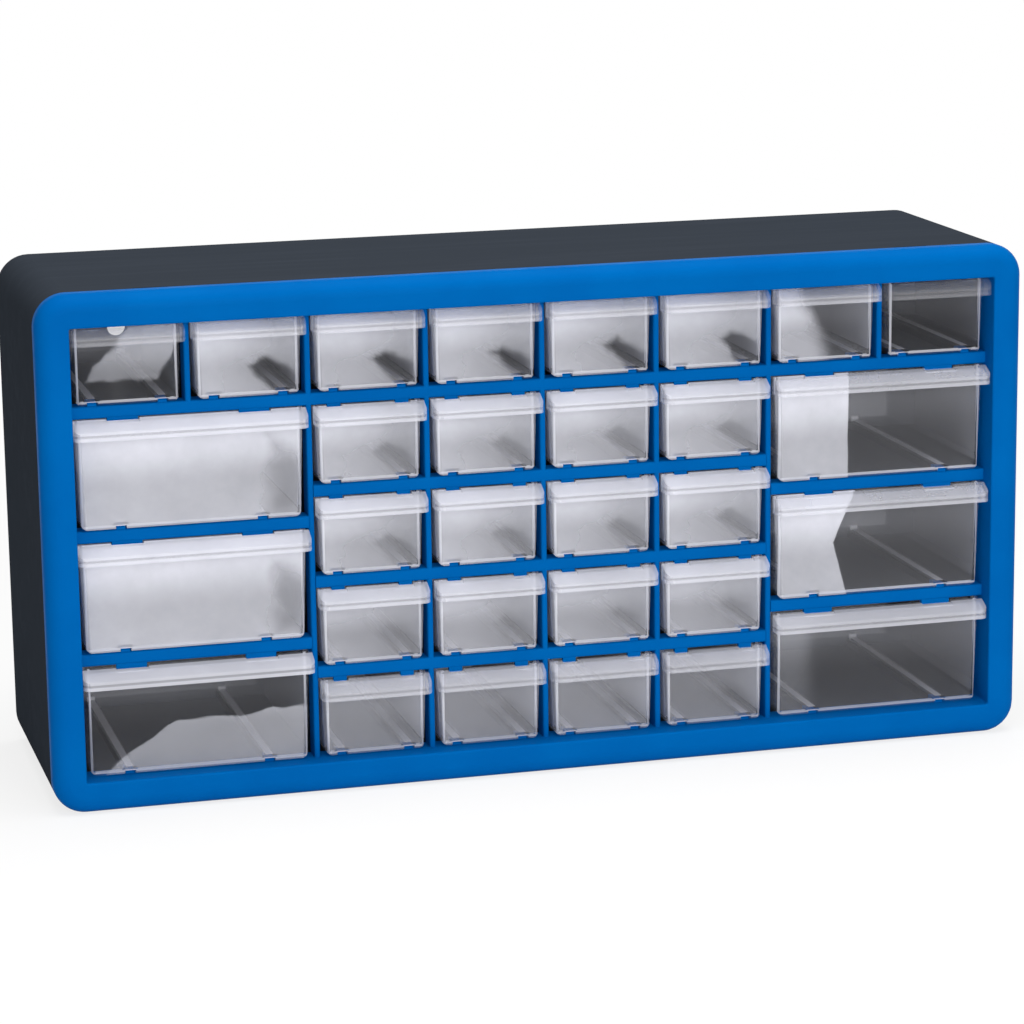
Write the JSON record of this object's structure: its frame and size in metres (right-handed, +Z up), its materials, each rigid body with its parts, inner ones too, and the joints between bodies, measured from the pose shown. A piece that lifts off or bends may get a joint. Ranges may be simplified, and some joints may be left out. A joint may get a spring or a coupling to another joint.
{
  "type": "parts bin cabinet",
  "caption": "Wide plastic storage cabinet with a dark case, a blue front frame and rows of small and large clear pull-out drawers.",
  "frame": {"origin": "middle of the footprint, on the surface that the cabinet stands on", "axes": "+Z up, drawers open towards -Y, +X to the right when facing the drawers"},
  "size_m": [0.5, 0.145, 0.255],
  "materials": {
    "case_plastic": "satin moulded polypropylene",
    "frame_plastic": "satin moulded polypropylene",
    "rack_plastic": "moulded polypropylene",
    "drawer_plastic": "milky clear moulded polypropylene"
  },
  "bodies": {
    "cabinet": {"case": "case_plastic", "front_frame": "frame_plastic", "top_plate": "rack_plastic", "row_shelf": "rack_plastic", "floor_shelf": "rack_plastic", "left_shelf_1": "rack_plastic", "left_shelf_2": "rack_plastic", "right_shelf_1": "rack_plastic", "right_shelf_2": "rack_plastic", "centre_shelf_1": "rack_plastic", "centre_shelf_2": "rack_plastic", "centre_shelf_3": "rack_plastic", "left_upright": "rack_plastic", "right_upright": "rack_plastic", "top_dividers": "rack_plastic", "centre_dividers": "rack_plastic"},
    "small_drawer_1_1_body": {"small_drawer_1_1": "drawer_plastic"},
    "small_drawer_1_2_body": {"small_drawer_1_2": "drawer_plastic"},
    "small_drawer_1_3_body": {"small_drawer_1_3": "drawer_plastic"},
    "small_drawer_1_4_body": {"small_drawer_1_4": "drawer_plastic"},
    "small_drawer_1_5_body": {"small_drawer_1_5": "drawer_plastic"},
    "small_drawer_1_6_body": {"small_drawer_1_6": "drawer_plastic"},
    "small_drawer_1_7_body": {"small_drawer_1_7": "drawer_plastic"},
    "small_drawer_1_8_body": {"small_drawer_1_8": "drawer_plastic"},
    "small_drawer_2_3_body": {"small_drawer_2_3": "drawer_plastic"},
    "small_drawer_2_4_body": {"small_drawer_2_4": "drawer_plastic"},
    "small_drawer_2_5_body": {"small_drawer_2_5": "drawer_plastic"},
    "small_drawer_2_6_body": {"small_drawer_2_6": "drawer_plastic"},
    "small_drawer_3_3_body": {"small_drawer_3_3": "drawer_plastic"},
    "small_drawer_3_4_body": {"small_drawer_3_4": "drawer_plastic"},
    "small_drawer_3_5_body": {"small_drawer_3_5": "drawer_plastic"},
    "small_drawer_3_6_body": {"small_drawer_3_6": "drawer_plastic"},
    "small_drawer_4_3_body": {"small_drawer_4_3": "drawer_plastic"},
    "small_drawer_4_4_body": {"small_drawer_4_4": "drawer_plastic"},
    "small_drawer_4_5_body": {"small_drawer_4_5": "drawer_plastic"},
    "small_drawer_4_6_body": {"small_drawer_4_6": "drawer_plastic"},
    "small_drawer_5_3_body": {"small_drawer_5_3": "drawer_plastic"},
    "small_drawer_5_4_body": {"small_drawer_5_4": "drawer_plastic"},
    "small_drawer_5_5_body": {"small_drawer_5_5": "drawer_plastic"},
    "small_drawer_5_6_body": {"small_drawer_5_6": "drawer_plastic"},
    "large_drawer_left_1_body": {"large_drawer_left_1": "drawer_plastic"},
    "large_drawer_left_2_body": {"large_drawer_left_2": "drawer_plastic"},
    "large_drawer_left_3_body": {"large_drawer_left_3": "drawer_plastic"},
    "large_drawer_right_1_body": {"large_drawer_right_1": "drawer_plastic"},
    "large_drawer_right_2_body": {"large_drawer_right_2": "drawer_plastic"},
    "large_drawer_right_3_body": {"large_drawer_right_3": "drawer_plastic"}
  },
  "joints": [
    {"name": "small_drawer_1_1_slide", "type": "slide", "parent": "cabinet", "child": "small_drawer_1_1_body", "axis": [0, -1, 0], "range_m": [0, 0.1235]},
    {"name": "small_drawer_1_2_slide", "type": "slide", "parent": "cabinet", "child": "small_drawer_1_2_body", "axis": [0, -1, 0], "range_m": [0, 0.1235]},
    {"name": "small_drawer_1_3_slide", "type": "slide", "parent": "cabinet", "child": "small_drawer_1_3_body", "axis": [0, -1, 0], "range_m": [0, 0.1235]},
    {"name": "small_drawer_1_4_slide", "type": "slide", "parent": "cabinet", "child": "small_drawer_1_4_body", "axis": [0, -1, 0], "range_m": [0, 0.1235]},
    {"name": "small_drawer_1_5_slide", "type": "slide", "parent": "cabinet", "child": "small_drawer_1_5_body", "axis": [0, -1, 0], "range_m": [0, 0.1235]},
    {"name": "small_drawer_1_6_slide", "type": "slide", "parent": "cabinet", "child": "small_drawer_1_6_body", "axis": [0, -1, 0], "range_m": [0, 0.1235]},
    {"name": "small_drawer_1_7_slide", "type": "slide", "parent": "cabinet", "child": "small_drawer_1_7_body", "axis": [0, -1, 0], "range_m": [0, 0.1235]},
    {"name": "small_drawer_1_8_slide", "type": "slide", "parent": "cabinet", "child": "small_drawer_1_8_body", "axis": [0, -1, 0], "range_m": [0, 0.1235]},
    {"name": "small_drawer_2_3_slide", "type": "slide", "parent": "cabinet", "child": "small_drawer_2_3_body", "axis": [0, -1, 0], "range_m": [0, 0.1235]},
    {"name": "small_drawer_2_4_slide", "type": "slide", "parent": "cabinet", "child": "small_drawer_2_4_body", "axis": [0, -1, 0], "range_m": [0, 0.1235]},
    {"name": "small_drawer_2_5_slide", "type": "slide", "parent": "cabinet", "child": "small_drawer_2_5_body", "axis": [0, -1, 0], "range_m": [0, 0.1235]},
    {"name": "small_drawer_2_6_slide", "type": "slide", "parent": "cabinet", "child": "small_drawer_2_6_body", "axis": [0, -1, 0], "range_m": [0, 0.1235]},
    {"name": "small_drawer_3_3_slide", "type": "slide", "parent": "cabinet", "child": "small_drawer_3_3_body", "axis": [0, -1, 0], "range_m": [0, 0.1235]},
    {"name": "small_drawer_3_4_slide", "type": "slide", "parent": "cabinet", "child": "small_drawer_3_4_body", "axis": [0, -1, 0], "range_m": [0, 0.1235]},
    {"name": "small_drawer_3_5_slide", "type": "slide", "parent": "cabinet", "child": "small_drawer_3_5_body", "axis": [0, -1, 0], "range_m": [0, 0.1235]},
    {"name": "small_drawer_3_6_slide", "type": "slide", "parent": "cabinet", "child": "small_drawer_3_6_body", "axis": [0, -1, 0], "range_m": [0, 0.1235]},
    {"name": "small_drawer_4_3_slide", "type": "slide", "parent": "cabinet", "child": "small_drawer_4_3_body", "axis": [0, -1, 0], "range_m": [0, 0.1235]},
    {"name": "small_drawer_4_4_slide", "type": "slide", "parent": "cabinet", "child": "small_drawer_4_4_body", "axis": [0, -1, 0], "range_m": [0, 0.1235]},
    {"name": "small_drawer_4_5_slide", "type": "slide", "parent": "cabinet", "child": "small_drawer_4_5_body", "axis": [0, -1, 0], "range_m": [0, 0.1235]},
    {"name": "small_drawer_4_6_slide", "type": "slide", "parent": "cabinet", "child": "small_drawer_4_6_body", "axis": [0, -1, 0], "range_m": [0, 0.1235]},
    {"name": "small_drawer_5_3_slide", "type": "slide", "parent": "cabinet", "child": "small_drawer_5_3_body", "axis": [0, -1, 0], "range_m": [0, 0.1235]},
    {"name": "small_drawer_5_4_slide", "type": "slide", "parent": "cabinet", "child": "small_drawer_5_4_body", "axis": [0, -1, 0], "range_m": [0, 0.1235]},
    {"name": "small_drawer_5_5_slide", "type": "slide", "parent": "cabinet", "child": "small_drawer_5_5_body", "axis": [0, -1, 0], "range_m": [0, 0.1235]},
    {"name": "small_drawer_5_6_slide", "type": "slide", "parent": "cabinet", "child": "small_drawer_5_6_body", "axis": [0, -1, 0], "range_m": [0, 0.1235]},
    {"name": "large_drawer_left_1_slide", "type": "slide", "parent": "cabinet", "child": "large_drawer_left_1_body", "axis": [0, -1, 0], "range_m": [0, 0.1235]},
    {"name": "large_drawer_left_2_slide", "type": "slide", "parent": "cabinet", "child": "large_drawer_left_2_body", "axis": [0, -1, 0], "range_m": [0, 0.1235]},
    {"name": "large_drawer_left_3_slide", "type": "slide", "parent": "cabinet", "child": "large_drawer_left_3_body", "axis": [0, -1, 0], "range_m": [0, 0.1235]},
    {"name": "large_drawer_right_1_slide", "type": "slide", "parent": "cabinet", "child": "large_drawer_right_1_body", "axis": [0, -1, 0], "range_m": [0, 0.1235]},
    {"name": "large_drawer_right_2_slide", "type": "slide", "parent": "cabinet", "child": "large_drawer_right_2_body", "axis": [0, -1, 0], "range_m": [0, 0.1235]},
    {"name": "large_drawer_right_3_slide", "type": "slide", "parent": "cabinet", "child": "large_drawer_right_3_body", "axis": [0, -1, 0], "range_m": [0, 0.1235]}
  ]
}
